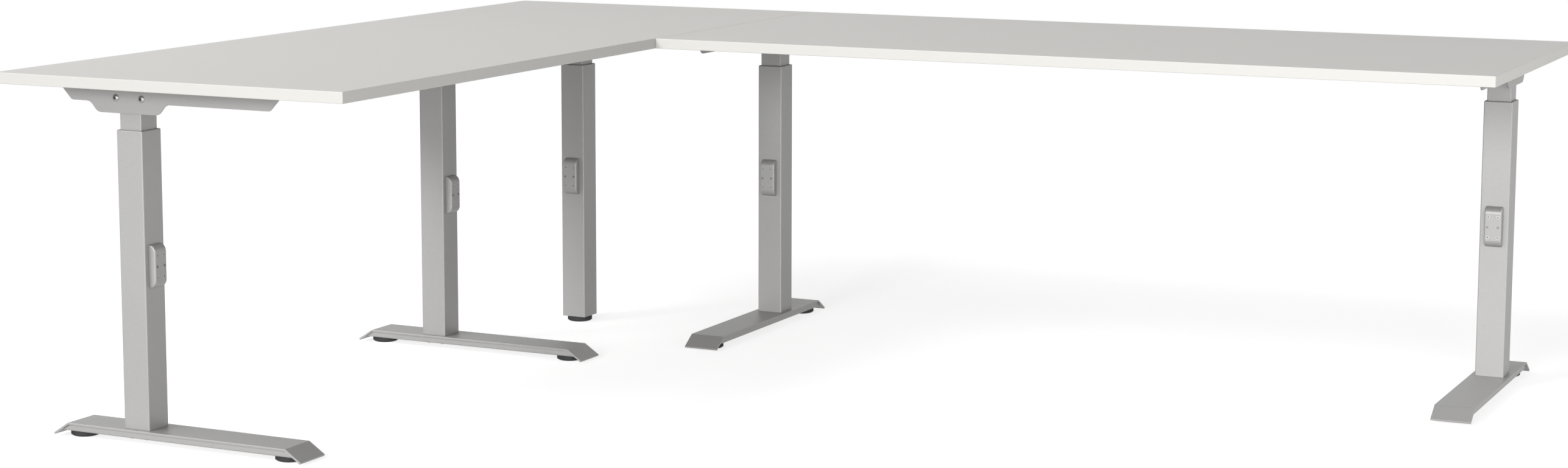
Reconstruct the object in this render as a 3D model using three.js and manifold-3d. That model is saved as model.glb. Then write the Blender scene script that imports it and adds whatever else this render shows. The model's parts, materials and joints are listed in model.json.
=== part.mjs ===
// L-shaped corner desk on five telescopic legs that are set to height by clamps.
//
// Millimetres, +Z up. +X runs along the right wing and +Y points to the walls behind the desk.
// The origin is on the floor, under the middle of the desk's rectangle. Inside the desk group the
// origin is the outer corner of the L, so the right wing runs along +X and the left wing along -Y.
// Inside a leg's group the origin is on the floor under the tube, +X points to the user, and the
// foot and the top bracket lie along X.

import * as THREE from "three";
import { mergeVertices } from "three/addons/utils/BufferGeometryUtils.js";
import Module from "manifold-3d";

const wasm = await Module();
wasm.setup();

// Desk top: two wings and a square corner board.
const DESK_HEIGHT = 725;
const BOARD_DEPTH = 800;
const BOARD_THICKNESS = 22;
const BOARD_EDGE_RADIUS = 1.2;
const LEFT_WING_LENGTH = 1200;
const RIGHT_WING_LENGTH = 1800;
const SEAM_GAP = 0.4;

// Steel plates that join the boards under each seam.
const SEAM_PLATE_LENGTH = 120;
const SEAM_PLATE_WIDTH = 40;
const SEAM_PLATE_THICKNESS = 3;
const SEAM_PLATE_SPACING = 62;
const SEAM_SCREW_SPACING_X = 80;
const SEAM_SCREW_SPACING_Y = 20;
const BOARD_SCREW_HOLE = 5.5;

// Where the legs stand.
const LEFT_LEG_INSET = 246;
const LEFT_END_INSET = 123;
const RIGHT_LEG_INSET = 206;
const RIGHT_END_INSET = 109;
const SEAM_LEG_OFFSET = 4;
const CORNER_LEG_X = 373;
const CORNER_LEG_Y = 385;

// Telescopic tubes and their plastic guides.
const OUTER_TUBE = 60;
const OUTER_WALL = 3;
const OUTER_CORNER = 4;
const INNER_TUBE_SHOWING = 88;
const OUTER_RIM_RADIUS = 1.1;
const INNER_TUBE = 50;
const INNER_WALL = 2;
const INNER_CORNER = 3;
const BASE_THICKNESS = 8;
const BUSH_HEIGHT = 40;
const BUSH_RECESS = 1;
const SLIDER_HEIGHT = 10;
const SLIDER_PLUG = 20;
const CLEARANCE = 0.3;

// How far the top goes down and up from the height it stands at.
const TRAVEL_DOWN = 25;
const TRAVEL_UP = 255;
const END_STOP_GAP = 2;

// Clamp block on the user's side of each outer tube, and the pad that it presses on the inner tube.
const BLOCK_WIDTH = 36;
const BLOCK_HEIGHT = 85.4;
const BLOCK_DEPTH = 15;
const BLOCK_EDGE_RADIUS = 3;
const BLOCK_BOLT_SPACING_Y = 20;
const BLOCK_BOLT_SPACING_Z = 42.7;
const BLOCK_BOLT_HEAD = 8.4;
const BLOCK_BOLT_SEAT = 4;
const BLOCK_BOLT_HOLE = 4.4;
const SET_SCREW_SPACING = 22.4;
const SET_SCREW_HOLE = 6;
const PAD_WIDTH = 30;
const PAD_HEIGHT = 38;

// Foot of a wing leg: a bent plate on a shallow channel.
const FOOT_WIDTH = 81;
const FOOT_PLATE = 4;
const FOOT_REAR = 161;
const FOOT_FRONT = 354;
const TIP_RUN = 35;
const TIP_DROP = 23;
const CHANNEL_INSET = 4;
const CHANNEL_HEIGHT = 13;
const CHANNEL_WALL = 3;
const FOOT_BOLT_SPACING_X = 35;
const FOOT_BOLT_SPACING_Y = 40;
const FOOT_BOLT_HOLE = 8.6;

// Levelling glides.
const GLIDE_DIAMETER = 58;
const GLIDE_HEIGHT = 13;
const GLIDE_EDGE = 5;
const GLIDE_REAR = 149;
const GLIDE_FRONT = 338;
const STEM_DIAMETER = 10;
const STEM_END_GAP = 0.8;
const WELD_NUT_DIAMETER = 18;
const WELD_NUT_HEIGHT = 6;

// Top bracket of a wing leg: an angle of folded sheet, bolted to a head on the inner tube.
const BRACKET_SHEET = 3;
const BRACKET_WIDTH = 66;
const BRACKET_FOLD = 4;
const BRACKET_REAR = 170;
const BRACKET_FRONT_INSET = 194;
const ARM_DROP = 35;
const CENTRE_DROP = 56;
const END_RUN = 33;
const CENTRE_REAR = 71;
const CENTRE_FRONT = 66;
const SLOPE_RUN = 26;
const BRACKET_BEND = 12;
const BRACKET_END_BEND = 8;
const BRACKET_SCREW_INSET = 45;
const HEAD_LENGTH = 82;
const HEAD_DROP = 44;
const HEAD_BOLT_SPACING = 61;
const HEAD_BOLT_DROP = 26.5;
const HEAD_BOLT_HOLE = 8.6;

// Plate on the corner leg's inner tube.
const CORNER_PLATE = 140;
const CORNER_PLATE_THICKNESS = 4;
const CORNER_PLATE_CHAMFER = 20;
const CORNER_SCREW_SPACING = 104;

// Heights and lengths that follow from the sizes above.
const BOARD_UNDERSIDE = DESK_HEIGHT - BOARD_THICKNESS;
const OUTER_TUBE_TOP = BOARD_UNDERSIDE - INNER_TUBE_SHOWING;
const BRACKET_FRONT = BOARD_DEPTH - LEFT_LEG_INSET - BRACKET_FRONT_INSET;
const CHANNEL_TOP = GLIDE_HEIGHT + CHANNEL_HEIGHT;
const FOOT_TOP = CHANNEL_TOP + FOOT_PLATE;
const SLIDER_BOTTOM = FOOT_TOP + BASE_THICKNESS + TRAVEL_DOWN + END_STOP_GAP;
const SLIDER_TOP = SLIDER_BOTTOM + SLIDER_HEIGHT;
const CLAMP_CENTRE = SLIDER_TOP + TRAVEL_UP + END_STOP_GAP + PAD_HEIGHT / 2;
const BORE = OUTER_TUBE - 2 * OUTER_WALL;
const BORE_CORNER = Math.max(OUTER_CORNER - OUTER_WALL, CLEARANCE);
const CHANNEL_WIDTH = FOOT_WIDTH - 2 * CHANNEL_INSET;
const DESK_LENGTH = BOARD_DEPTH + RIGHT_WING_LENGTH;
const DESK_REACH = BOARD_DEPTH + LEFT_WING_LENGTH;

// Facets of round stretches, and how far a cutting tool runs past the faces that it goes through.
const ARC_STEPS = 2;
const HIDDEN_ARC_STEPS = 1;
const HOLE_SIDES = 10;
const STEM_SIDES = 12;
const GLIDE_SIDES = 24;
const THROUGH = 1;

// ---------------------------------------------------------------- solids

/** A closed three.js geometry as a solid that can be joined and cut. */
function solid(geometry) {
  const bare = geometry.clone();
  bare.deleteAttribute("normal");
  bare.deleteAttribute("uv");
  const merged = mergeVertices(bare, 1e-4);
  return new wasm.Manifold(
    new wasm.Mesh({
      numProp: 3,
      vertProperties: merged.getAttribute("position").array,
      triVerts: new Uint32Array(merged.index.array),
    }),
  );
}

/** A solid as a three.js geometry. */
function geometryOf(body) {
  const mesh = body.getMesh();
  const geometry = new THREE.BufferGeometry();
  geometry.setAttribute("position", new THREE.BufferAttribute(mesh.vertProperties, 3));
  geometry.setIndex(new THREE.BufferAttribute(mesh.triVerts, 1));
  const faceted = geometry.toNonIndexed();
  faceted.computeVertexNormals();
  return faceted;
}

/** The first solid less all the others. */
function cut(body, ...tools) {
  return tools.reduce((rest, tool) => rest.subtract(tool), body);
}

/** A box from its lowest corner and its size. */
function box(x, y, z, length, depth, height) {
  const geometry = new THREE.BoxGeometry(length, depth, height);
  geometry.translate(x + length / 2, y + depth / 2, z + height / 2);
  return solid(geometry);
}

/** An outline in X and Y, drawn up from z. */
function prism(outline, z, height, options = {}) {
  const geometry = new THREE.ExtrudeGeometry(outline, {
    depth: height,
    bevelEnabled: false,
    curveSegments: ARC_STEPS,
    ...options,
  });
  geometry.translate(0, 0, z);
  return solid(geometry);
}

/** An outline in X and Z, drawn along +Y from y. */
function sidePrism(outline, y, depth, options = {}) {
  const geometry = new THREE.ExtrudeGeometry(outline, {
    depth,
    bevelEnabled: false,
    curveSegments: ARC_STEPS,
    ...options,
  });
  geometry.rotateX(Math.PI / 2);
  geometry.translate(0, y + depth, 0);
  return solid(geometry);
}

/** A round bar along Z. */
function roundBar(x, y, z, diameter, height, sides = HOLE_SIDES) {
  const geometry = new THREE.CylinderGeometry(diameter / 2, diameter / 2, height, sides);
  geometry.rotateX(Math.PI / 2);
  geometry.translate(x, y, z + height / 2);
  return solid(geometry);
}

/** A round bar along X. */
function barAlongX(x, y, z, diameter, length) {
  const geometry = new THREE.CylinderGeometry(diameter / 2, diameter / 2, length, HOLE_SIDES);
  geometry.rotateZ(Math.PI / 2);
  geometry.translate(x + length / 2, y, z);
  return solid(geometry);
}

/** A round bar along Y, centred on y. */
function barAlongY(x, y, z, diameter, length) {
  const geometry = new THREE.CylinderGeometry(diameter / 2, diameter / 2, length, HOLE_SIDES);
  geometry.translate(x, y, z);
  return solid(geometry);
}

/** A square outline with round corners, centred on the origin. */
function squareOutline(size, radius) {
  const reach = size / 2 - radius;
  const shape = new THREE.Shape();
  shape.absarc(reach, reach, radius, 0, Math.PI / 2);
  shape.absarc(-reach, reach, radius, Math.PI / 2, Math.PI);
  shape.absarc(-reach, -reach, radius, Math.PI, 1.5 * Math.PI);
  shape.absarc(reach, -reach, radius, 1.5 * Math.PI, 2 * Math.PI);
  return shape;
}

/** A closed outline through [x, y, cut] corners: each corner is rounded from cut mm before it. */
function roundedOutline(corners) {
  const shape = new THREE.Shape();
  const points = corners.map(([x, y]) => new THREE.Vector2(x, y));
  corners.forEach(([x, y, reach], i) => {
    const before = points.at(i - 1).clone().sub(points[i]);
    const after = points[(i + 1) % points.length].clone().sub(points[i]);
    const start = before.setLength(reach).add(points[i]);
    const end = after.setLength(reach).add(points[i]);
    if (i === 0) shape.moveTo(start.x, start.y);
    else shape.lineTo(start.x, start.y);
    if (reach > 0) shape.quadraticCurveTo(x, y, end.x, end.y);
  });
  return shape;
}

/** A rectangle's outline from its lowest corner. */
function rectangle(x, y, length, depth) {
  return new THREE.Shape([
    new THREE.Vector2(x, y),
    new THREE.Vector2(x + length, y),
    new THREE.Vector2(x + length, y + depth),
    new THREE.Vector2(x, y + depth),
  ]);
}

/** The four corners of a rectangle of holes centred on the origin. */
function fourCorners(spacingX, spacingY) {
  return [-1, 1].flatMap((a) => [-1, 1].map((b) => [(a * spacingX) / 2, (b * spacingY) / 2]));
}

// ---------------------------------------------------------------- finishes

const silverPaint = () =>
  new THREE.MeshStandardMaterial({ color: 0xb4b3b0, roughness: 0.55, metalness: 0.35 });
const boardLaminate = () => new THREE.MeshStandardMaterial({ color: 0xd8d7d2, roughness: 0.6 });
const plainSteel = () =>
  new THREE.MeshStandardMaterial({ color: 0x9a9b9d, roughness: 0.4, metalness: 0.8 });
const blackPlastic = () => new THREE.MeshStandardMaterial({ color: 0x262626, roughness: 0.6 });
const guidePlastic = () => new THREE.MeshStandardMaterial({ color: 0x3a3a3c, roughness: 0.5 });

/** A named mesh for one piece. */
function piece(name, body, material) {
  const mesh = new THREE.Mesh(geometryOf(body), material);
  mesh.name = name;
  return mesh;
}

// ---------------------------------------------------------------- desk top

/** A board with softly rounded edges, from its lowest corner in plan. */
function board(x, y, length, depth) {
  return prism(
    rectangle(x, y, length, depth),
    BOARD_UNDERSIDE + BOARD_EDGE_RADIUS,
    BOARD_THICKNESS - 2 * BOARD_EDGE_RADIUS,
    {
      bevelEnabled: true,
      bevelThickness: BOARD_EDGE_RADIUS,
      bevelSize: BOARD_EDGE_RADIUS,
      bevelOffset: -BOARD_EDGE_RADIUS,
      bevelSegments: 3,
    },
  );
}

/** A flat connector under a seam, long along X, with four screw holes, at the origin. */
function seamPlate() {
  const bottom = BOARD_UNDERSIDE - SEAM_PLATE_THICKNESS;
  const plate = box(
    -SEAM_PLATE_LENGTH / 2,
    -SEAM_PLATE_WIDTH / 2,
    bottom,
    SEAM_PLATE_LENGTH,
    SEAM_PLATE_WIDTH,
    SEAM_PLATE_THICKNESS,
  );
  const holes = fourCorners(SEAM_SCREW_SPACING_X, SEAM_SCREW_SPACING_Y).map(([x, y]) =>
    roundBar(x, y, bottom - THROUGH, BOARD_SCREW_HOLE, SEAM_PLATE_THICKNESS + 2 * THROUGH),
  );
  return cut(plate, ...holes);
}

/** Two connectors for one seam, spread about the middle of the free stretch in front of its leg. */
function seamPlates(side, legInset) {
  const freeMiddle = (legInset + BRACKET_FRONT + BOARD_DEPTH) / 2;
  return [1, 2].map((number) => {
    const along = freeMiddle + (number - 1.5) * SEAM_PLATE_SPACING;
    const mesh = piece(`seam_plate_${side}_${number}`, seamPlate(), plainSteel());
    if (side === "right") {
      mesh.position.set(BOARD_DEPTH, -along, 0);
    } else {
      mesh.position.set(along, -BOARD_DEPTH, 0);
      mesh.rotation.z = Math.PI / 2;
    }
    return mesh;
  });
}

function deskTop() {
  const group = new THREE.Group();
  const wingStart = BOARD_DEPTH + SEAM_GAP;
  group.add(
    piece("corner_board", board(0, -BOARD_DEPTH, BOARD_DEPTH, BOARD_DEPTH), boardLaminate()),
    piece(
      "left_wing_board",
      board(0, -DESK_REACH, BOARD_DEPTH, DESK_REACH - wingStart),
      boardLaminate(),
    ),
    piece(
      "right_wing_board",
      board(wingStart, -BOARD_DEPTH, DESK_LENGTH - wingStart, BOARD_DEPTH),
      boardLaminate(),
    ),
    ...seamPlates("left", LEFT_LEG_INSET),
    ...seamPlates("right", RIGHT_LEG_INSET),
  );
  return group;
}

// ---------------------------------------------------------------- telescopic column

/** The outer tube with its welded base plate, its rounded rim and the window behind the clamp. */
function outerTube(bottom, baseHoles) {
  const rim = OUTER_RIM_RADIUS;
  const height = OUTER_TUBE_TOP - bottom;
  const outline = squareOutline(OUTER_TUBE, OUTER_CORNER);
  const bore = squareOutline(BORE, BORE_CORNER);
  const rounded = { bevelEnabled: true, bevelThickness: rim, bevelSize: rim, bevelSegments: 2 };
  const post = prism(outline, bottom - rim, height, { ...rounded, bevelOffset: -rim });
  const floor = bottom + BASE_THICKNESS;
  const flare = prism(bore, OUTER_TUBE_TOP, rim, { ...rounded, bevelOffset: 0 });
  const window = box(
    0,
    -PAD_WIDTH / 2 - CLEARANCE,
    CLAMP_CENTRE - PAD_HEIGHT / 2 - CLEARANCE,
    OUTER_TUBE,
    PAD_WIDTH + 2 * CLEARANCE,
    PAD_HEIGHT + 2 * CLEARANCE,
  );
  return cut(
    post,
    box(-OUTER_TUBE, -OUTER_TUBE, bottom - 3 * rim, 2 * OUTER_TUBE, 2 * OUTER_TUBE, 3 * rim),
    prism(bore, floor, OUTER_TUBE_TOP - floor + THROUGH),
    flare,
    window,
    ...baseHoles.map(([x, y, diameter]) =>
      roundBar(x, y, bottom - THROUGH, diameter, BASE_THICKNESS + 2 * THROUGH),
    ),
  );
}

/** The inner tube, from the slider up to its top. */
function innerTube(top) {
  const height = top - SLIDER_TOP;
  const bore = INNER_TUBE - 2 * INNER_WALL;
  const boreCorner = Math.max(INNER_CORNER - INNER_WALL, CLEARANCE);
  return cut(
    prism(squareOutline(INNER_TUBE, INNER_CORNER), SLIDER_TOP, height),
    prism(squareOutline(bore, boreCorner), SLIDER_TOP - THROUGH, height + 2 * THROUGH),
  );
}

/** The inner tube of a wing leg, with the blocks of its bolted head welded on, front and rear. */
function headedInnerTube() {
  const top = BOARD_UNDERSIDE - BRACKET_SHEET;
  const bottom = BOARD_UNDERSIDE - HEAD_DROP;
  const cheek = (HEAD_LENGTH - INNER_TUBE) / 2 + INNER_CORNER;
  const reach = INNER_TUBE / 2 - INNER_CORNER;
  const height = top - bottom;
  const flats = INNER_TUBE - 2 * INNER_CORNER;
  const blocks = [-reach - cheek, reach].map((x) =>
    box(x, -INNER_TUBE / 2, bottom, cheek, INNER_TUBE, height),
  );
  const room = box(-reach, -flats / 2, bottom, 2 * reach, flats, height);
  const bolts = [-1, 1].map((end) =>
    barAlongY(
      (end * HEAD_BOLT_SPACING) / 2,
      0,
      BOARD_UNDERSIDE - HEAD_BOLT_DROP,
      HEAD_BOLT_HOLE,
      INNER_TUBE + 2 * THROUGH,
    ),
  );
  const trimmed = blocks.map((block) => block.subtract(room));
  return cut(trimmed.reduce((all, block) => all.add(block), innerTube(top)), ...bolts);
}

/** The plastic sleeve in the mouth of the outer tube. */
function guideBush() {
  const bottom = OUTER_TUBE_TOP - BUSH_RECESS - BUSH_HEIGHT;
  const coarse = { curveSegments: HIDDEN_ARC_STEPS };
  return cut(
    prism(squareOutline(BORE - 2 * CLEARANCE, BORE_CORNER), bottom, BUSH_HEIGHT, coarse),
    prism(
      squareOutline(INNER_TUBE + 2 * CLEARANCE, INNER_CORNER),
      bottom - THROUGH,
      BUSH_HEIGHT + 2 * THROUGH,
      coarse,
    ),
  );
}

/** The plastic slider plugged into the lower end of the inner tube. */
function tubeSlider() {
  const plugSize = INNER_TUBE - 2 * INNER_WALL - 2 * CLEARANCE;
  const foot = squareOutline(BORE - 2 * CLEARANCE, BORE_CORNER);
  const plug = squareOutline(plugSize, INNER_CORNER);
  const coarse = { curveSegments: HIDDEN_ARC_STEPS };
  return prism(foot, SLIDER_BOTTOM, SLIDER_HEIGHT, coarse).add(
    prism(plug, SLIDER_TOP, SLIDER_PLUG, coarse),
  );
}

/** Clamp block: flat front, quarter-round ends, soft side edges and seats for six fasteners. */
function clampBlock() {
  const back = OUTER_TUBE / 2;
  const front = back + BLOCK_DEPTH;
  const half = BLOCK_HEIGHT / 2;
  const edge = BLOCK_EDGE_RADIUS;
  const outline = new THREE.Shape();
  outline.moveTo(back - 2 * edge, CLAMP_CENTRE + half);
  outline.lineTo(back - 2 * edge, CLAMP_CENTRE - half);
  outline.absarc(back, CLAMP_CENTRE - half + BLOCK_DEPTH, BLOCK_DEPTH, -Math.PI / 2, 0);
  outline.absarc(back, CLAMP_CENTRE + half - BLOCK_DEPTH, BLOCK_DEPTH, 0, Math.PI / 2);
  const body = sidePrism(outline, edge - BLOCK_WIDTH / 2, BLOCK_WIDTH - 2 * edge, {
    curveSegments: ARC_STEPS + 1,
    bevelEnabled: true,
    bevelThickness: edge,
    bevelSize: edge,
    bevelOffset: -edge,
    bevelSegments: 2,
  });
  const behind = box(
    back - 4 * edge,
    -BLOCK_WIDTH,
    CLAMP_CENTRE - BLOCK_HEIGHT,
    4 * edge,
    2 * BLOCK_WIDTH,
    2 * BLOCK_HEIGHT,
  );
  const bolts = fourCorners(BLOCK_BOLT_SPACING_Y, BLOCK_BOLT_SPACING_Z).flatMap(([y, z]) => [
    barAlongX(front - BLOCK_BOLT_SEAT, y, CLAMP_CENTRE + z, BLOCK_BOLT_HEAD, BLOCK_DEPTH),
    barAlongX(back - THROUGH, y, CLAMP_CENTRE + z, BLOCK_BOLT_HOLE, BLOCK_DEPTH),
  ]);
  const setScrews = [-1, 1].map((side) =>
    barAlongX(
      back - THROUGH,
      (side * SET_SCREW_SPACING) / 2,
      CLAMP_CENTRE,
      SET_SCREW_HOLE,
      BLOCK_DEPTH + 2 * THROUGH,
    ),
  );
  return cut(body, behind, ...bolts, ...setScrews);
}

/** The pad in the outer tube's window, between the clamp block and the inner tube. */
function clampPad() {
  const inner = INNER_TUBE / 2 + CLEARANCE;
  const outer = OUTER_TUBE / 2 - CLEARANCE;
  const bottom = CLAMP_CENTRE - PAD_HEIGHT / 2;
  return box(inner, -PAD_WIDTH / 2, bottom, outer - inner, PAD_WIDTH, PAD_HEIGHT);
}

/** The pieces that every leg has. */
function column(leg, tube, inner) {
  return [
    piece(`outer_tube_${leg}`, tube, silverPaint()),
    piece(`inner_tube_${leg}`, inner, silverPaint()),
    piece(`guide_bush_${leg}`, guideBush(), guidePlastic()),
    piece(`tube_slider_${leg}`, tubeSlider(), guidePlastic()),
    piece(`clamp_block_${leg}`, clampBlock(), silverPaint()),
    piece(`clamp_pad_${leg}`, clampPad(), plainSteel()),
  ];
}

// ---------------------------------------------------------------- foot

const footBoltHoles = () => fourCorners(FOOT_BOLT_SPACING_X, FOOT_BOLT_SPACING_Y);

/** The side outline of the space on and above the foot, down to the plate's top or underside. */
function footOutline(depthBelowTop, bottom) {
  const slope = TIP_DROP / TIP_RUN;
  const straightDown = depthBelowTop * Math.hypot(1, slope);
  const shift = (straightDown - depthBelowTop) / slope;
  const rear = -FOOT_REAR + shift;
  const front = FOOT_FRONT - shift;
  const level = FOOT_TOP - depthBelowTop;
  const run = (level - bottom) / slope;
  return [
    [front, level],
    [rear, level],
    [rear - run, bottom],
    [front + run, bottom],
  ];
}

/** A closed shape through plain [x, z] corners. */
const shapeOf = (corners) => new THREE.Shape(corners.map(([x, y]) => new THREE.Vector2(x, y)));

/** The foot's top plate, with both ends bent down. */
function footPlate() {
  const underside = FOOT_TOP - TIP_DROP - 2 * FOOT_PLATE;
  const upper = shapeOf(footOutline(0, underside));
  const lower = shapeOf(footOutline(FOOT_PLATE, underside - FOOT_PLATE));
  const tipReach = TIP_RUN - FOOT_PLATE / 2;
  const length = FOOT_REAR + FOOT_FRONT + 2 * tipReach;
  const keep = box(
    -FOOT_REAR - tipReach,
    -FOOT_WIDTH / 2,
    0,
    length,
    FOOT_WIDTH,
    FOOT_TOP + THROUGH,
  );
  const bent = sidePrism(upper, -FOOT_WIDTH / 2, FOOT_WIDTH).subtract(
    sidePrism(lower, -FOOT_WIDTH, 2 * FOOT_WIDTH),
  );
  const holes = footBoltHoles().map(([x, y]) =>
    roundBar(x, y, CHANNEL_TOP - THROUGH, FOOT_BOLT_HOLE, FOOT_PLATE + 2 * THROUGH),
  );
  return cut(bent.intersect(keep), ...holes);
}

/** The channel under the foot plate, with slanted ends and a weld nut for each glide. */
function footChannel() {
  const reach = FOOT_REAR + FOOT_FRONT;
  const wall = CHANNEL_WALL;
  const ends = shapeOf(footOutline(FOOT_PLATE + CLEARANCE, GLIDE_HEIGHT));
  const trough = box(
    -reach,
    wall - CHANNEL_WIDTH / 2,
    GLIDE_HEIGHT + wall,
    2 * reach,
    CHANNEL_WIDTH - 2 * wall,
    CHANNEL_HEIGHT,
  );
  const nuts = [-GLIDE_REAR, GLIDE_FRONT].map((x) =>
    roundBar(x, 0, GLIDE_HEIGHT + wall / 2, WELD_NUT_DIAMETER, wall / 2 + WELD_NUT_HEIGHT, STEM_SIDES),
  );
  const stemHoles = [-GLIDE_REAR, GLIDE_FRONT].map((x) =>
    roundBar(x, 0, 0, STEM_DIAMETER + 2 * CLEARANCE, FOOT_TOP, STEM_SIDES),
  );
  const boltHoles = footBoltHoles().map(([x, y]) => roundBar(x, y, 0, FOOT_BOLT_HOLE, FOOT_TOP));
  const folded = sidePrism(ends, -CHANNEL_WIDTH / 2, CHANNEL_WIDTH).subtract(trough);
  return cut(nuts.reduce((all, nut) => all.add(nut), folded), ...stemHoles, ...boltHoles);
}

/** A levelling glide on the floor under (x, 0): a round pad and its threaded stem. */
function glide(x, stemTop) {
  const radius = GLIDE_DIAMETER / 2;
  const stem = STEM_DIAMETER / 2;
  const shoulder = GLIDE_HEIGHT - CLEARANCE;
  const outline = new THREE.Path();
  outline.moveTo(0, 0);
  outline.lineTo(radius - GLIDE_EDGE, 0);
  outline.absarc(radius - GLIDE_EDGE, GLIDE_EDGE, GLIDE_EDGE, -Math.PI / 2, 0);
  outline.lineTo(radius, shoulder);
  outline.lineTo(stem, shoulder);
  outline.lineTo(stem, stemTop);
  outline.lineTo(0, stemTop);
  const geometry = new THREE.LatheGeometry(outline.getPoints(HIDDEN_ARC_STEPS), GLIDE_SIDES);
  geometry.rotateX(Math.PI / 2);
  geometry.translate(x, 0, 0);
  return solid(geometry);
}

// ---------------------------------------------------------------- top bracket

/** The bracket's side outline: two arms and a deeper middle, with slanted ends. */
function bracketOutline() {
  const top = BOARD_UNDERSIDE;
  const arm = top - ARM_DROP;
  const low = top - CENTRE_DROP;
  return roundedOutline([
    [-BRACKET_REAR, top, 0],
    [-BRACKET_REAR + END_RUN, arm, BRACKET_END_BEND],
    [-CENTRE_REAR - SLOPE_RUN, arm, BRACKET_BEND],
    [-CENTRE_REAR, low, BRACKET_BEND],
    [CENTRE_FRONT, low, BRACKET_BEND],
    [CENTRE_FRONT + SLOPE_RUN, arm, BRACKET_BEND],
    [BRACKET_FRONT - END_RUN, arm, BRACKET_END_BEND],
    [BRACKET_FRONT, top, 0],
  ]);
}

/** Where the board screws go through the bracket's top plate, on the flange's side and beyond. */
function bracketScrewHoles(flangeSide) {
  const rows = [-INNER_TUBE / 4, BRACKET_WIDTH / 2 - INNER_TUBE / 4];
  const stations = [
    -BRACKET_REAR + BRACKET_SCREW_INSET,
    HEAD_LENGTH / 2 + BRACKET_SCREW_INSET,
    BRACKET_FRONT - BRACKET_SCREW_INSET,
  ];
  return stations.flatMap((x) => rows.map((y) => [x, -flangeSide * y]));
}

/** The folded angle under the board. Its flange is on the +Y or -Y side of the tube. */
function topBracket(flangeSide) {
  const top = BOARD_UNDERSIDE;
  const sheet = BRACKET_SHEET;
  const inside = INNER_TUBE / 2 + CLEARANCE;
  const outside = inside + sheet;
  const angle = roundedOutline([
    [outside, top, BRACKET_FOLD],
    [outside, top - CENTRE_DROP, 0],
    [inside, top - CENTRE_DROP, 0],
    [inside, top - sheet, 0],
    [outside - BRACKET_WIDTH, top - sheet, 0],
    [outside - BRACKET_WIDTH, top, 0],
  ]);
  const geometry = new THREE.ExtrudeGeometry(angle, {
    depth: BRACKET_REAR + BRACKET_FRONT,
    bevelEnabled: false,
    curveSegments: 2 * ARC_STEPS,
  });
  geometry.rotateX(Math.PI / 2);
  geometry.rotateZ(Math.PI / 2);
  const start = -BRACKET_REAR;
  if (flangeSide < 0) {
    geometry.rotateZ(Math.PI);
    geometry.translate(BRACKET_FRONT, 0, 0);
  } else {
    geometry.translate(start, 0, 0);
  }
  const sides = sidePrism(bracketOutline(), -BRACKET_WIDTH, 2 * BRACKET_WIDTH);
  const bolts = [-1, 1].map((end) =>
    barAlongY(
      (end * HEAD_BOLT_SPACING) / 2,
      flangeSide * outside,
      top - HEAD_BOLT_DROP,
      HEAD_BOLT_HOLE,
      4 * sheet,
    ),
  );
  const screws = bracketScrewHoles(flangeSide).map(([x, y]) =>
    roundBar(x, y, top - 2 * sheet, BOARD_SCREW_HOLE, 3 * sheet),
  );
  return cut(solid(geometry).intersect(sides), ...bolts, ...screws);
}

/** The square plate between the corner leg's inner tube and the corner board. */
function cornerPlate() {
  const half = CORNER_PLATE / 2;
  const flat = half - CORNER_PLATE_CHAMFER;
  const bottom = BOARD_UNDERSIDE - CORNER_PLATE_THICKNESS;
  const outline = shapeOf([
    [half, -flat],
    [half, flat],
    [flat, half],
    [-flat, half],
    [-half, flat],
    [-half, -flat],
    [-flat, -half],
    [flat, -half],
  ]);
  const holes = fourCorners(CORNER_SCREW_SPACING, CORNER_SCREW_SPACING).map(([x, y]) =>
    roundBar(x, y, bottom - THROUGH, BOARD_SCREW_HOLE, CORNER_PLATE_THICKNESS + 2 * THROUGH),
  );
  return cut(prism(outline, bottom, CORNER_PLATE_THICKNESS), ...holes);
}

// ---------------------------------------------------------------- legs

/** A wing leg: column, T-foot with two glides, and top bracket. */
function wingLeg(leg, flangeSide) {
  const baseHoles = footBoltHoles().map(([x, y]) => [x, y, FOOT_BOLT_HOLE]);
  const stemTop = CHANNEL_TOP - STEM_END_GAP;
  const group = new THREE.Group();
  group.add(
    ...column(leg, outerTube(FOOT_TOP, baseHoles), headedInnerTube()),
    piece(`top_bracket_${leg}`, topBracket(flangeSide), silverPaint()),
    piece(`foot_plate_${leg}`, footPlate(), silverPaint()),
    piece(`foot_channel_${leg}`, footChannel(), silverPaint()),
    piece(`glide_rear_${leg}`, glide(-GLIDE_REAR, stemTop), blackPlastic()),
    piece(`glide_front_${leg}`, glide(GLIDE_FRONT, stemTop), blackPlastic()),
  );
  return group;
}

/** The corner leg: column, one glide under the tube, and a plate on top. */
function cornerLeg() {
  const stemHole = [0, 0, STEM_DIAMETER + 2 * CLEARANCE];
  const tube = outerTube(GLIDE_HEIGHT, [stemHole]);
  const inner = innerTube(BOARD_UNDERSIDE - CORNER_PLATE_THICKNESS);
  const stemTop = GLIDE_HEIGHT + BASE_THICKNESS + WELD_NUT_HEIGHT;
  const group = new THREE.Group();
  group.add(
    ...column("corner", tube, inner),
    piece("corner_mount_plate", cornerPlate(), plainSteel()),
    piece("glide_corner", glide(0, stemTop), blackPlastic()),
  );
  return group;
}

/** A leg's group at its place: the left wing's user sits towards +X, the others towards -Y. */
function placed(group, x, y, facesLeftWingUser) {
  group.position.set(x, -y, 0);
  group.rotation.z = facesLeftWingUser ? 0 : -Math.PI / 2;
  return group;
}

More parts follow.
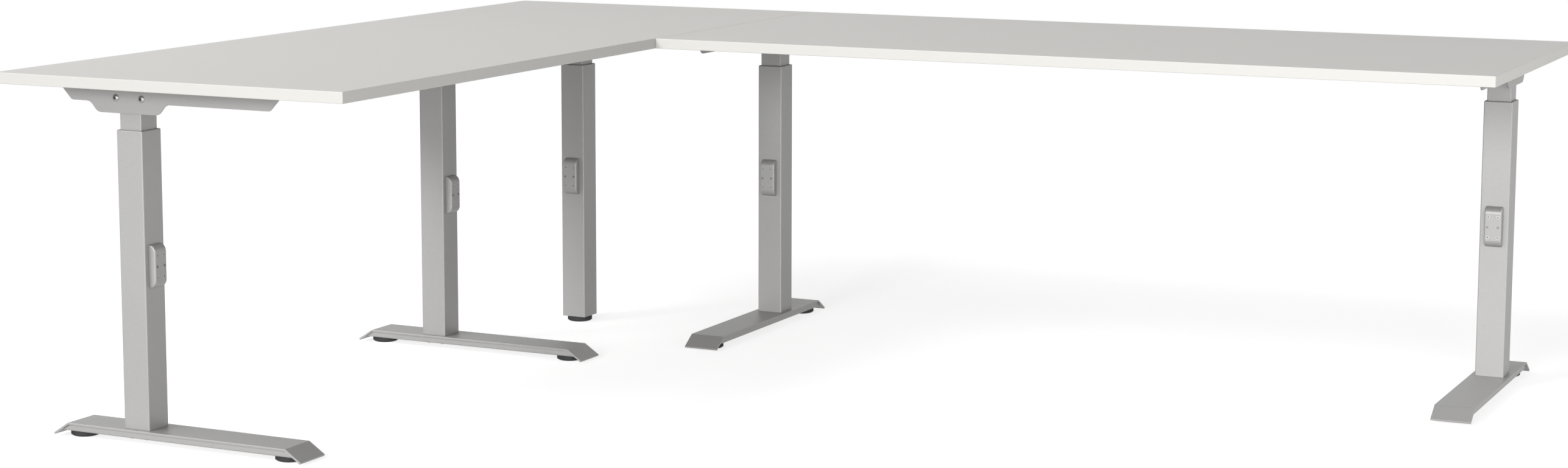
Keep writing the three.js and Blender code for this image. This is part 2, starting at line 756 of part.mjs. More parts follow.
function legs() {
  const seamLegs = BOARD_DEPTH + SEAM_LEG_OFFSET;
  const leftEnd = DESK_REACH - LEFT_END_INSET;
  const rightEnd = DESK_LENGTH - RIGHT_END_INSET;
  return [
    placed(wingLeg("left_outer", -1), LEFT_LEG_INSET, leftEnd, true),
    placed(wingLeg("left_inner", 1), LEFT_LEG_INSET, seamLegs, true),
    placed(cornerLeg(), CORNER_LEG_X, CORNER_LEG_Y, false),
    placed(wingLeg("right_inner", -1), seamLegs, RIGHT_LEG_INSET, false),
    placed(wingLeg("right_outer", 1), rightEnd, RIGHT_LEG_INSET, false),
  ];
}

const desk = new THREE.Group();
desk.add(deskTop(), ...legs());
desk.position.set(-DESK_LENGTH / 2, DESK_REACH / 2, 0);

const root = new THREE.Group();
root.add(desk);

export default root;
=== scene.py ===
"""Finishes the L-shaped, height adjustable desk around its frame: boards, telescopic legs, feet,
fittings and a plain studio. Metres, +Z up. A leg's own axes are u, towards its user, v and z."""

import json
import math

import bmesh
import bpy
from bpy.props import FloatProperty, FloatVectorProperty, IntProperty, PointerProperty
from mathutils import Matrix, Vector

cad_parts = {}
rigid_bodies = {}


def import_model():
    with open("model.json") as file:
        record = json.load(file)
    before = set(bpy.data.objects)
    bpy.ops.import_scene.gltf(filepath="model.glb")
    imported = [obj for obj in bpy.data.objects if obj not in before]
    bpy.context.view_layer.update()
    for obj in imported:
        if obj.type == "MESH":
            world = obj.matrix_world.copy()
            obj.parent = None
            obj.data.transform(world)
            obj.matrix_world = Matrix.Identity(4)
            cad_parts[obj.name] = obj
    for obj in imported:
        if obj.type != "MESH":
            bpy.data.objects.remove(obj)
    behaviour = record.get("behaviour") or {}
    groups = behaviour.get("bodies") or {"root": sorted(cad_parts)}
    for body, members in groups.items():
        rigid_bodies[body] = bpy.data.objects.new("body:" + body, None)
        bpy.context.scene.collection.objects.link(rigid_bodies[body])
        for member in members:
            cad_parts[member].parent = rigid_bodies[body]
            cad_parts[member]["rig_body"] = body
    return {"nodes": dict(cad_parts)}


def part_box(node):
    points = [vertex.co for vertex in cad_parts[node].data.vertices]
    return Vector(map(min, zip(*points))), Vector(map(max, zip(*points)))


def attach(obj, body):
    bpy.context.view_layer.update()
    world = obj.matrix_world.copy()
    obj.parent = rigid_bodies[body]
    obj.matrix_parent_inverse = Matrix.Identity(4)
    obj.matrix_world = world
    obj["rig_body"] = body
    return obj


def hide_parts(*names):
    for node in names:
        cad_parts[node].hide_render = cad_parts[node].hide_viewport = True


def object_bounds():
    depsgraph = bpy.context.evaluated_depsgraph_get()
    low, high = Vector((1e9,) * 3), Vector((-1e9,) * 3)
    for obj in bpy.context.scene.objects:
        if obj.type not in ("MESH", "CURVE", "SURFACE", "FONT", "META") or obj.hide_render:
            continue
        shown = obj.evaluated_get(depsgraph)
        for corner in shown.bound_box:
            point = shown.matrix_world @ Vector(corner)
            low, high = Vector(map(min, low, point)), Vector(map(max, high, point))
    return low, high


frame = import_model()

bl_info = {
    "name": "Height adjustable corner desk",
    "version": (1, 0, 0),
    "blender": (4, 5, 0),
    "location": "3D View > Sidebar > Desk",
    "description": "Makes the boards, legs, feet and fittings of a corner desk around its frame",
    "category": "Add Mesh",
}

MM = 0.001
CAD_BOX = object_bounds()
CENTRE = (CAD_BOX[0] + CAD_BOX[1]) / 2
TOP_BODY = "desk_top"
ARC_STEPS = 8
ROLL_STEPS = 6
HEAD_SIDES = 32
PAD_SIDES = 96
MIN_CORNER = 0.3 * MM
WINDOW_ROOM = 0.3 * MM  # between the clamp pad and its window in the tube
SMOOTH_ANGLE = math.radians(35)

# Spacing of the fasteners, across and along what they hold.
CLAMP_BOLTS = (20 * MM, 42.7 * MM)
CLAMP_SCREWS = (22.4 * MM, 0)
CLAMP_SEAT = 4.08 * MM  # radius of a bolt's seat in the clamp
CLAMP_HOLE = 2.95 * MM  # radius of a set screw's hole in the clamp
CLAMP_HOLE_DEPTH = 4 * MM
CLAMP_LIP = 0.25 * MM  # rounding around the clamp's holes
BOLT_SINK = 0.1 * MM
SCREW_SINK = 1.1 * MM
FOOT_BOLTS = (35 * MM, 44 * MM)
FLANGE_BOLTS = 61 * MM
FLANGE_BOLT_DEPTH = 26.5 * MM
BOARD_SCREW_INSET = 45 * MM
BOARD_SCREW_MIDDLE = 86 * MM
BOARD_SCREW_ROWS = (12.5 * MM, -20.5 * MM)
SEAM_SCREWS = (80 * MM, 20 * MM)
CORNER_SCREWS = (104 * MM, 104 * MM)

# The studio's lamps: where each sun shines from and its spread in degrees, and where each softbox
# hangs and its width.
SUNS = {
    "key": ((0, -0.97, 0.26), 14),
    "fill": ((0.34, -0.93, 0.17), 14),
    "side": ((-0.41, -0.71, 0.57), 20),
    "back": ((-0.5, 0.86, 0.14), 30),
}
SOFTBOXES = {
    "right": ((4, 0.5, 1.1), 2.2),
    "near": ((3, -2.4, 0.75), 1.3),
    "left": ((-2.5, -5, 1.5), 2.2),
    "top": ((-3, -1.5, 4), 2.2),
    "front": ((0.6, -3, 0.6), 1.2),
}
FLOOR_RADIUS = 60.0
FLOOR_DEPTH = 0.02


# -------- places in the frame


def extent(points):
    """The lowest and highest corner of the box around some points."""
    return Vector(map(min, *points)), Vector(map(max, *points))


class Leg:
    """One leg's name and body, and the matrix from its own axes to the desk's."""

    def __init__(self, name):
        self.name = name
        self.body = f"lower_leg_{name}"
        tube = middle(f"outer_tube_{name}")
        facing = middle(f"clamp_block_{name}") - tube
        turn = Matrix.Rotation(math.atan2(facing.y, facing.x), 4, "Z")
        self.matrix = Matrix.Translation((tube.x, tube.y, 0)) @ turn

    def box(self, part):
        """The lowest and highest corner of one of the leg's nodes, in the leg's own axes."""
        corners = [self.matrix.inverted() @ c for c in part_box(f"{part}_{self.name}")]
        return extent(corners)

    def flat_span(self, part):
        """Where the level top of one of the leg's nodes starts and ends along u."""
        inverse = self.matrix.inverted()
        points = [inverse @ v.co for v in frame["nodes"][f"{part}_{self.name}"].data.vertices]
        top = max(p.z for p in points)
        level = [p.x for p in points if top - p.z < 0.1 * MM]
        return min(level), max(level)

    @property
    def flange_side(self):
        """1 or -1: the side along v that the top bracket's flange is on."""
        low, high = self.box("top_bracket")
        return 1 if high.y < -low.y else -1


def middle(node):
    low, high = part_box(node)
    return (low + high) / 2


def leg_names(prefix):
    return sorted(n.removeprefix(prefix) for n in frame["nodes"] if n.startswith(prefix))


LEGS = [Leg(name) for name in leg_names("outer_tube_")]
WING_LEGS = [leg for leg in LEGS if f"top_bracket_{leg.name}" in frame["nodes"]]


# -------- sizes and finishes to change


def number(name, description, default, **options):
    """A property for a number, or for several."""
    kind = FloatVectorProperty if isinstance(default, tuple) else FloatProperty
    return kind(name=name, description=description, default=default, **options)


def length(name, description, default):
    """A length property in metres, from a default in millimetres."""
    return number(name, description, default * MM, unit="LENGTH")


def colour(name, description, default):
    return number(name, description, default, subtype="COLOR", min=0, max=1)


def level(name, description, default):
    """A light's level: 1 shows a colour as it is written on a face turned to it."""
    return number(name, description, default, min=0)


def power(name, description, default):
    return number(name, description, default, min=0, subtype="POWER")


class DeskDetails(bpy.types.PropertyGroup):
    """Sizes of the fine shapes that the frame leaves plain."""

    board_edge: length("Board edge", "Radius of the boards' long edges", 1.2)
    edge_band: length("Edge band", "Thickness of the boards' edge band", 2)
    tube_corner: length("Outer tube corner", "Radius of the outer tube's corners", 2.4)
    tube_wall: length("Outer tube wall", "Wall of the outer tube", 3)
    tube_rim: length("Outer tube rim", "Radius around the outside of the tube's mouth", 2.2)
    tube_floor: length("Base plate", "Thickness of the plate in the tube's lower end", 8)
    inner_corner: length("Inner tube corner", "Radius of the inner tube's corners", 2)
    inner_wall: length("Inner tube wall", "Wall of the inner tube", 2)
    head_drop: length("Head drop", "Depth of the head's blocks under the board", 44)
    head_edge: length("Head edge", "Radius on the blocks of the inner tube's head", 1.2)
    weld_bead: length("Weld bead", "Width of the beads beside the head's blocks", 5)
    sheet_edge: length("Sheet edge", "Softness of a cut sheet's edge", 0.4)
    clamp_edge: length("Clamp edge", "Radius of the clamp block's side edges", 3)
    plate_thickness: length("Foot plate", "Thickness of the foot plate", 4)
    plate_bend: length("Foot plate bend", "Outer radius of the bends at the foot's ends", 5)
    tip_run: length("Tip run", "How far a foot's bent tip reaches out", 35)
    tip_drop: length("Tip drop", "How far a foot's bent tip goes down", 23)
    channel_wall: length("Channel wall", "Wall of the channel under the foot plate", 3)
    channel_bend: length("Channel bend", "Outer radius of the channel's long bends", 3)
    bracket_sheet: length("Bracket sheet", "Thickness of the top bracket", 3)
    bracket_fold: length("Bracket fold", "Outer radius of the bracket's fold", 4)
    bracket_bend: length("Bracket corners", "Radius of the flange's lower corners", 18)
    bracket_end: length("Bracket ends", "Radius of the flange's outer corners", 10)
    arm_drop: length("Arm drop", "Height of the bracket's arms", 35)
    end_run: length("End run", "How far an arm's end slants in", 33)
    centre_rear: length("Middle, rear", "Reach of the flange's deeper middle to the rear", 75)
    centre_front: length("Middle, front", "Reach of the flange's deeper middle to the front", 70)
    slope_run: length("Slope run", "Length of the slope beside the deeper middle", 18)
    glide_edge: length("Glide edge", "Radius around the glide's floor edge", 5)
    glide_height: length("Glide height", "Height of the glide's pad", 12.7)
    stem_radius: length("Stem radius", "Radius of the glide's threaded stem", 5)
    stem_pitch: length("Stem pitch", "Pitch of the stem's thread", 1.5)
    rib_height: length("Rib height", "How far a rib stands out of the glide's rim", 0.5)
    rib_count: IntProperty(name="Ribs", description="Ribs around each glide", default=72, min=12)


class DeskFinishes(bpy.types.PropertyGroup):
    """Colours of the materials."""

    laminate: colour("Laminate", "Melamine face of the boards", (0.532, 0.524, 0.506))
    edging: colour("Edging", "Plastic edge band of the boards", (0.46, 0.453, 0.432))
    paint: colour("Paint", "Silver powder coat", (0.303, 0.3, 0.295))
    zinc: colour("Zinc", "Bright plating of plates, stems and screws", (0.52, 0.53, 0.54))
    # The nickel tone is kept low to paint the dim surroundings these heads reflect: painted shade
    # in their reflections.
    nickel: colour("Nickel", "Dull plating of the screws that show", (0.33, 0.33, 0.33))
    glide: colour("Glides", "Black plastic of the glides", (0.022, 0.022, 0.023))
    guide: colour("Guides", "Dark plastic of the bushes and sliders", (0.03, 0.03, 0.032))


class DeskStudio(bpy.types.PropertyGroup):
    """Camera and lights."""

    camera: number("Camera", "Where it stands", (2.4375, -5.3321, 1.2882), subtype="TRANSLATION")
    pan: number("Pan", "Turn to the left from +Y", 0.4598, subtype="ANGLE")
    tilt: number("Tilt", "Tilt down from level", 0.1301, subtype="ANGLE")
    lens: number("Lens", "Focal length in millimetres", 66.6)
    shift: number("Shift", "Lens shift in frame widths", (0.0298, -0.05), size=2)
    key_level: level("Key", "Level of the low light from in front", 0.45)
    fill_level: level("Fill", "Level of the low light from the front right", 0.21)
    side_level: level("Side", "Level of the light from the front left", 0.52)
    back_level: level("Back", "Level of the low light from behind", 0.17)
    sky_level: level("Sky", "Level of the surrounding light", 0.12)
    right_power: power("Right", "Power of the softbox at the right", 38)
    near_power: power("Near", "Power of the softbox at the front right", 35)
    left_power: power("Left", "Power of the softbox at the front left", 32)
    top_power: power("Top", "Power of the high softbox at the left", 77)
    front_power: power("Front", "Power of the small low softbox in front", 17)
    floor_tone: colour("Floor", "Colour of the floor", (0.6, 0.6, 0.6))
    shadow_tone: colour("Shadow", "How much of the floor's shading shows", (0.4, 0.4, 0.4))
    floor_glow: level("Floor glow", "Level of the floor's own white", 0.76)


# -------- meshes


def rounded(corners, steps=ARC_STEPS):
    """A closed outline through (x, y, radius) corners, with an arc where the radius isn't 0."""
    points = []
    for i, (x, y, radius) in enumerate(corners):
        here = Vector((x, y))
        if radius <= 0:
            points.append(here)
            continue
        before = (Vector(corners[i - 1][:2]) - here).normalized()
        after = (Vector(corners[(i + 1) % len(corners)][:2]) - here).normalized()
        half = before.angle(after) / 2
        centre = here + (before + after).normalized() * (radius / math.sin(half))
        start = here + before * (radius / math.tan(half)) - centre
        turn = math.copysign(math.pi - 2 * half, after.x * before.y - after.y * before.x)
        arc = (Matrix.Rotation(turn * k / steps, 2) for k in range(steps + 1))
        points += [centre + spin @ start for spin in arc]
    return points


def rectangle(low, high, radius=0.0):
    """A rectangle's outline between two corners, all four rounded alike."""
    corners = [(low[0], low[1]), (high[0], low[1]), (high[0], high[1]), (low[0], high[1])]
    return rounded([(x, y, radius) for x, y in corners])


def circle(radius, sides, z=0.0):
    turns = (math.tau * i / sides for i in range(sides))
    return [Vector((radius * math.cos(a), radius * math.sin(a), z)) for a in turns]


def quarter(steps=ROLL_STEPS):
    """Angles from 0 to a right angle."""
    return [math.pi / 2 * k / steps for k in range(steps + 1)]


def loft(rings, looped=False):
    """A closed surface through rings of points. Its ends are filled, or joined when looped."""
    body = bmesh.new()
    loops = [[body.verts.new(p) for p in ring] for ring in rings]
    pairs = list(zip(loops, loops[1:]))
    if looped:
        pairs.append((loops[-1], loops[0]))
    else:
        body.faces.new(loops[0])
        body.faces.new(loops[-1])
    for a, b in pairs:
        for i in range(len(a)):
            body.faces.new((a[i - 1], a[i], b[i], b[i - 1]))
    bmesh.ops.recalc_face_normals(body, faces=body.faces)
    return body


def prism(outline, low, high, axis="Z"):
    """An outline drawn out along an axis. Its points hold the two other axes, in their order."""
    along = {
        "Z": lambda p, h: (p[0], p[1], h),
        "Y": lambda p, h: (p[0], h, p[1]),
        "X": lambda p, h: (h, p[0], p[1]),
    }[axis]
    return loft([[Vector(along(p, h)) for p in outline] for h in (low, high)])


def block(low, high, axis="Z"):
    """A plain box between two corners."""
    return prism(rectangle(low, high), low[2], high[2], axis)


def lathe(profile, sides):
    """A round solid about Z through (radius, z) points, closed flat at both ends."""
    return loft([circle(radius, sides, z) for radius, z in profile])


def square_ring(size, corner, z):
    half = size / 2
    outline = rectangle((-half, -half), (half, half), max(corner, MIN_CORNER))
    return [Vector((p.x, p.y, z)) for p in outline]


def join(*bodies):
    """Several bodies as one mesh."""
    whole = bodies[0]
    for other in bodies[1:]:
        mesh = bpy.data.meshes.new("part")
        other.to_mesh(mesh)
        whole.from_mesh(mesh)
        bpy.data.meshes.remove(mesh)
        other.free()
    return whole


def new_object(name, body, matrix=None):
    """An object at the origin from a body, with its place in its mesh."""
    mesh = bpy.data.meshes.new(name)
    if matrix is not None:
        body.transform(matrix)
    body.to_mesh(mesh)
    body.free()
    made = bpy.data.objects.new(name, mesh)
    bpy.context.scene.collection.objects.link(made)
    return made


def settle(made):
    """Turns an object's modifiers into plain mesh."""
    graph = bpy.context.evaluated_depsgraph_get()
    graph.update()
    mesh = bpy.data.meshes.new_from_object(made.evaluated_get(graph))
    made.modifiers.clear()
    made.data = mesh
    return made


def carve(made, tool, operation="DIFFERENCE", bare=0):
    """Cuts a body out of an object, or keeps only what the two share. bare is the material index
    of the faces that the cut leaves."""
    cutter = new_object("cutter", tool)
    for face in cutter.data.polygons:
        face.material_index = bare
    cutting = made.modifiers.new("cut", "BOOLEAN")
    cutting.operation = operation
    cutting.solver = "EXACT"
    cutting.object = cutter
    settle(made)
    bpy.data.objects.remove(cutter)
    return made


def soften(made, width, segments=2, angle=40):
    """Rounds the edges that are sharper than an angle in degrees."""
    bevel = made.modifiers.new("soften", "BEVEL")
    bevel.width = width
    bevel.segments = segments
    bevel.limit_method = "ANGLE"
    bevel.angle_limit = math.radians(angle)
    bevel.use_clamp_overlap = True
    return settle(made)


def wear(made, *materials):
    """Gives a piece or a node of the frame its materials, all in the first."""
    made.data.materials.clear()
    for material in materials:
        made.data.materials.append(material)


def finish(made, body, slot, replaced=()):
    """Shades a piece, gives it its slot's material if it has none, and fixes it to its body."""
    if not made.data.materials:
        wear(made, SLOT_MATERIALS[slot]())
    made.data.shade_smooth()
    made.data.set_sharp_from_angle(angle=SMOOTH_ANGLE)
    shading = made.modifiers.new("flat faces", "WEIGHTED_NORMAL")
    shading.keep_sharp = True
    shading.weight = 100
    settle(made)
    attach(made, body)
    if replaced:
        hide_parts(*replaced)
    return made


# -------- node trees


def arithmetic(operation, reflected=False):
    """An operator that adds a Math node."""

    def operate(wire, other):
        values = (other, wire) if reflected else (wire, other)
        settings = {"operation": operation}
        return wire.graph.node("ShaderNodeMath", settings, dict(enumerate(values)))

    return operate


class Wire:
    """A node's output. Arithmetic on it adds Math nodes to its tree."""

    def __init__(self, graph, socket):
        self.graph = graph
        self.socket = socket

    __add__ = __radd__ = arithmetic("ADD")
    __sub__ = arithmetic("SUBTRACT")
    __rsub__ = arithmetic("SUBTRACT", reflected=True)
    __mul__ = __rmul__ = arithmetic("MULTIPLY")
    __truediv__ = arithmetic("DIVIDE")
    __rtruediv__ = arithmetic("DIVIDE", reflected=True)
    __gt__ = arithmetic("GREATER_THAN")


class Graph:
    """Adds nodes to one tree."""

    def __init__(self, tree):
        self.tree = tree

    def node(self, kind, settings=None, inputs=None, output=0):
        """A node from its type, its settings and the values or wires of its sockets."""
        made = self.tree.nodes.new(kind)
        for name, value in (settings or {}).items():
            setattr(made, name, value)
        for key, value in (inputs or {}).items():
            if isinstance(value, Wire):
                self.tree.links.new(value.socket, made.inputs[key])
            else:
                made.inputs[key].default_value = value
        return Wire(self, made.outputs[output]) if made.outputs else made

    def attribute(self, name, kind):
        """An attribute of a geometry tree's mesh."""
        return self.node("GeometryNodeInputNamedAttribute", {"data_type": kind}, {"Name": name})

    def noise(self, place, scale, detail=2.0, roughness=0.5):
        inputs = {"Vector": place, "Scale": scale, "Detail": detail, "Roughness": roughness}
        return self.node("ShaderNodeTexNoise", None, inputs)

    def cells(self, place, scale):
        """A random value for each small cell."""
        cell = self.node(
            "ShaderNodeTexVoronoi", None, {"Vector": place, "Scale": scale}, output="Color"
        )
        return self.node("ShaderNodeSeparateColor", None, {"Color": cell})

    def stretched(self, place, scale):
        """Coordinates scaled by three factors."""
        return self.node("ShaderNodeMapping", None, {"Vector": place, "Scale": scale})

    def shades(self, mask, dark, light):
        """From one colour to another as a mask goes from 0 to 1."""
        settings = {"data_type": "RGBA", "clamp_factor": True}
        return self.node("ShaderNodeMix", settings, {0: mask, 6: dark, 7: light}, output=2)

    def bump(self, height, strength, distance):
        inputs = {"Strength": strength, "Distance": distance, "Height": height}
        return self.node("ShaderNodeBump", None, inputs)


def rgba(tone, factor=1.0):
    return (*(min(1.0, c * factor) for c in tone), 1.0)


def cleared(owner):
    """The graph of a material or a world, with nothing in it."""
    owner.use_nodes = True
    owner.node_tree.nodes.clear()
    return Graph(owner.node_tree)


def tone_of(finish_name):
    return getattr(bpy.context.scene.desk_finishes, finish_name)


def new_material(name, shade, constants):
    """A Principled material. shade(graph, place) gives the sockets that vary over the surface."""
    found = bpy.data.materials.get(name)
    if found:
        return found
    material = bpy.data.materials.new(name)
    graph = cleared(material)
    place = graph.node("ShaderNodeTexCoord", output="Object")
    inputs = {**constants, **shade(graph, place)}
    surface = graph.node("ShaderNodeBsdfPrincipled", None, inputs)
    graph.node("ShaderNodeOutputMaterial", None, {"Surface": surface})
    return material


def laminate():
    """Melamine face: fine pearl embossing, faint clouds and a slightly uneven sheen."""
    tone = tone_of("laminate")

    def shade(graph, place):
        clouds = graph.noise(place, 2.2, 4.0)
        mottle = graph.noise(place, 330.0, 2.0, 0.6)
        pearl = graph.noise(place, 900.0, 3.0, 0.6)
        pits = graph.cells(place, 1500.0)
        mask = clouds * 0.35 + mottle * 0.35 + pearl * 0.2 + pits * 0.1
        return {
            "Base Color": graph.shades(mask, rgba(tone, 0.955), rgba(tone, 1.04)),
            "Roughness": 0.45 + clouds * 0.1 + pearl * 0.1,
            "Normal": graph.bump(pearl * 0.7 + pits * 0.3, 0.25, 0.12 * MM),
        }

    return new_material("melamine_laminate", shade, {"Specular IOR Level": 0.3})


def edging():
    """Plastic edge band: fine lines along its length and a soft gloss."""
    tone = tone_of("edging")

    def shade(graph, place):
        lines = graph.noise(graph.stretched(place, (3.0, 3.0, 1600.0)), 1.0, 2.0)
        grain = graph.noise(place, 380.0, 3.0, 0.6)
        return {
            "Base Color": graph.shades(
                lines * 0.6 + grain * 0.4, rgba(tone, 0.97), rgba(tone, 1.03)
            ),
            "Roughness": 0.34 + lines * 0.12,
            "Normal": graph.bump(lines * 0.5 + grain * 0.5, 0.2, 0.08 * MM),
        }

    return new_material("plastic_edging", shade, {"Specular IOR Level": 0.35})


def paint():
    """Silver powder coat: orange peel, fine light and dark specks and faint clouds."""
    tone = tone_of("paint")

    def shade(graph, place):
        peel = graph.noise(place, 420.0, 2.0)
        specks = graph.cells(place, 3400.0)
        grain = graph.noise(place, 1500.0, 2.0, 0.7)
        mottle = graph.noise(place, 340.0, 2.0, 0.6)
        clouds = graph.noise(place, 5.0, 3.0)
        flakes = specks > 0.94
        mask = mottle * 0.35 + grain * 0.25 + specks * 0.25 + clouds * 0.15
        plain = graph.shades(mask, rgba(tone, 0.84), rgba(tone, 1.14))
        return {
            "Base Color": graph.shades(flakes * 0.5, plain, rgba(tone, 1.4)),
            "Roughness": 0.36 + grain * 0.12 + clouds * 0.06,
            "Metallic": 0.4 + flakes * 0.3,
            "Normal": graph.bump(peel * 0.75 + specks * 0.25, 0.3, 0.12 * MM),
        }

    return new_material("silver_powder_coat", shade, {"Specular IOR Level": 0.3})


def plating(name, tone, roughness):
    """Plated steel: fine crystals, light scuffs and uneven gloss."""

    def shade(graph, place):
        crystals = graph.cells(place, 2400.0)
        scuffs = graph.noise(graph.stretched(place, (90.0, 1400.0, 700.0)), 1.0, 3.0)
        mask = crystals * 0.4 + scuffs * 0.6
        return {
            "Base Color": graph.shades(mask, rgba(tone, 0.8), rgba(tone, 1.15)),
            "Roughness": roughness + crystals * 0.08 + scuffs * 0.14,
            "Normal": graph.bump(scuffs, 0.15, 0.05 * MM),
        }

    return new_material(name, shade, {"Metallic": 1.0})


def zinc():
    return plating("zinc_plating", tone_of("zinc"), 0.2)


# A dull plating whose dark tone is painted shade, standing in for the dim reflections of the heads
# that show.
def nickel():
    return plating("nickel_plating", tone_of("nickel"), 0.3)


def recess():
    """Bottom of a screw's socket: dull and a little greasy, and painted dark for the shade deep in
    the socket.
    """

    def shade(graph, place):
        grease_and_shade = graph.noise(place, 900.0, 2.0)
        return {
            # Dark base colours: painted shade of the deep socket, varied a little as grease.
            "Base Color": graph.shades(grease_and_shade, (0.03, 0.03, 0.031, 1), (0.1, 0.1, 0.102, 1)),
            "Roughness": 0.5 + grease_and_shade * 0.2,
        }

    return new_material("socket_recess", shade, {"Specular IOR Level": 0.5})


def plastic(name, tone):
    """Moulded plastic with a fine spark-eroded grain."""

    def shade(graph, place):
        grain = graph.noise(place, 1500.0, 3.0, 0.65)
        handling = graph.noise(place, 60.0, 3.0)
        mask = grain * 0.6 + handling * 0.4
        return {
            "Base Color": graph.shades(mask, rgba(tone, 0.8), rgba(tone, 1.35)),
            "Roughness": 0.42 + grain * 0.18 + handling * 0.08,
            "Normal": graph.bump(grain, 0.35, 0.1 * MM),
        }

    return new_material(name, shade, {"Specular IOR Level": 0.4})


def glide_plastic():
    return plastic("glide_plastic", tone_of("glide"))


def guide_plastic():
    return plastic("guide_plastic", tone_of("guide"))


SLOT_MATERIALS = {
    "silver_paint": paint,
    "plated_steel": zinc,
    "black_plastic": glide_plastic,
    "guide_plastic": guide_plastic,
}


def place_fasteners(graph, given):
    """A fastener on each point, along the point's own direction and turned at random."""
    direction = graph.attribute("facing", "FLOAT_VECTOR")
    aimed = graph.node("FunctionNodeAlignRotationToVector", {"axis": "Z"}, {"Vector": direction})
    limits = {2: 0.0, 3: math.tau, "Seed": given["Seed"]}
    turn = graph.node("FunctionNodeRandomValue", {"data_type": "FLOAT"}, limits, output=1)
    spin = graph.node("ShaderNodeCombineXYZ", None, {"Z": turn})
    spin = graph.node("FunctionNodeEulerToRotation", None, {"Euler": spin})
    inputs = {"Rotation": aimed, "Rotate By": spin}
    rotation = graph.node("FunctionNodeRotateRotation", {"rotation_space": "LOCAL"}, inputs)
    head = graph.node("GeometryNodeObjectInfo", None, {"Object": given["Fastener"]}, "Geometry")
    inputs = {"Points": given["Geometry"], "Instance": head}
    inputs |= {"Rotation": rotation, "Scale": given["Size"]}
    return graph.node("GeometryNodeInstanceOnPoints", None, inputs)


def add_ribs(graph, given):
    """Upright ribs around a round pad, joined to it."""
    inputs = {"Vertices": given["Ribs"], "Radius": given["Rim Radius"]}
    ring = graph.node("GeometryNodeMeshCircle", None, inputs)
    inputs = {"Geometry": ring, "Translation": given["Centre"]}
    ring = graph.node("GeometryNodeTransform", None, inputs)
    inputs = {"Vertices": 6, "Radius": given["Rib Radius"], "Depth": given["Rib Length"]}
    rib = graph.node("GeometryNodeMeshCylinder", None, inputs)
    ribs = graph.node("GeometryNodeInstanceOnPoints", None, {"Points": ring, "Instance": rib})
    joined = graph.tree.nodes.new("GeometryNodeJoinGeometry")
    for part in (ribs, given["Geometry"]):
        graph.tree.links.new(part.socket, joined.inputs[0])
    return Wire(graph, joined.outputs[0])


# What each geometry tree does, and its inputs' kinds and defaults.
TREES = {
    "Fasteners": (
        place_fasteners,
        {
            "Fastener": ("Object", None),
            "Size": ("Float", 1.0),
            "Seed": ("Int", 1),
            "Material": ("Material", None),
            "Recess Material": ("Material", None),
        },
    ),
    "Ribbed rim": (
        add_ribs,
        {
            "Centre": ("Vector", (0, 0, 0)),
            "Rim Radius": ("Float", 0.029),
            "Ribs": ("Int", 72),
            "Rib Radius": ("Float", 0.0005),
            "Rib Length": ("Float", 0.006),
            "Material": ("Material", None),
        },
    ),
}


def geometry_tree(name):
    """A tree by its name, built when first asked for. It ends as plain mesh in its material, with
    the recess material, painted socket shade, where a cut left it bare."""
    if name in bpy.data.node_groups:
        return bpy.data.node_groups[name]
    build, inputs = TREES[name]
    tree = bpy.data.node_groups.new(name, "GeometryNodeTree")
    for way in ("OUTPUT", "INPUT"):
        tree.interface.new_socket("Geometry", in_out=way, socket_type="NodeSocketGeometry")
    for label, (kind, default) in inputs.items():
        kind = f"NodeSocket{kind}"
        socket = tree.interface.new_socket(label, in_out="INPUT", socket_type=kind)
        if default is not None:
            socket.default_value = default
    graph = Graph(tree)
    entry = tree.nodes.new("NodeGroupInput")
    given = {s.name: Wire(graph, s) for s in entry.outputs if s.name}
    plain = graph.node("GeometryNodeRealizeInstances", None, {"Geometry": build(graph, given)})
    inputs = {"Geometry": plain, "Material": given["Material"]}
    result = graph.node("GeometryNodeSetMaterial", None, inputs)
    if "Recess Material" in given:
        cut = graph.attribute("bare", "BOOLEAN")
        inputs = {"Geometry": result, "Selection": cut, "Material": given["Recess Material"]}
        result = graph.node("GeometryNodeSetMaterial", None, inputs)
    tree.links.new(result.socket, tree.nodes.new("NodeGroupOutput").inputs[0])
    return tree


def grow(made, name, inputs):
    """Runs a tree on an object and keeps its result as plain mesh."""
    tree = geometry_tree(name)
    modifier = made.modifiers.new(tree.name, "NODES")
    modifier.node_group = tree
    for socket in tree.interface.items_tree:
        if socket.in_out == "INPUT" and socket.name in inputs:
            modifier[socket.identifier] = inputs[socket.name]
    return settle(made)


# -------- fasteners


def hexagon(across, low, high):
    """A hexagonal bar about Z, from its width across flats."""
    return loft([circle(across / math.sqrt(3), 6, z) for z in (low, high)])


def new_head(name, profile, *sockets):
    """A screw's head about Z from its profile, with sockets whose faces are marked bare."""
    head = new_object(name, lathe(profile, HEAD_SIDES))
    for socket in sockets:
        carve(head, socket, bare=1)
    marks = head.data.attributes.new("bare", "BOOLEAN", "FACE")
    for face in head.data.polygons:
        marks.data[face.index].value = face.material_index == 1
    return head


def dome(radius, height):
    """Profile of a button head whose base is on the plane z = 0: a low straight side and a cap."""
    side, steps, buried = height * 0.2, 7, 0.3 * MM
    crown = height - side
    ball = (radius**2 + crown**2) / (2 * crown)
    rise = math.asin(radius / ball)
    turns = [rise * k / steps for k in range(steps, 0, -1)]
    rim = [(radius * 0.98, -buried), (radius, 0)]
    return rim + [(ball * math.sin(a), height - ball * (1 - math.cos(a))) for a in turns]


def button_head(radius, height, across):
    """A button head with a hexagon socket."""
    socket = hexagon(across, height * 0.3, height * 2)
    return new_head("button_head", dome(radius, height), socket)


def flush_head(radius, height, across, edge):
    """A flat round head with a chamfered edge and a hexagon socket."""
    profile = [(radius, -height), (radius, -edge), (radius - edge, 0)]
    return new_head("flush_head", profile, hexagon(across, -height * 0.8, height))


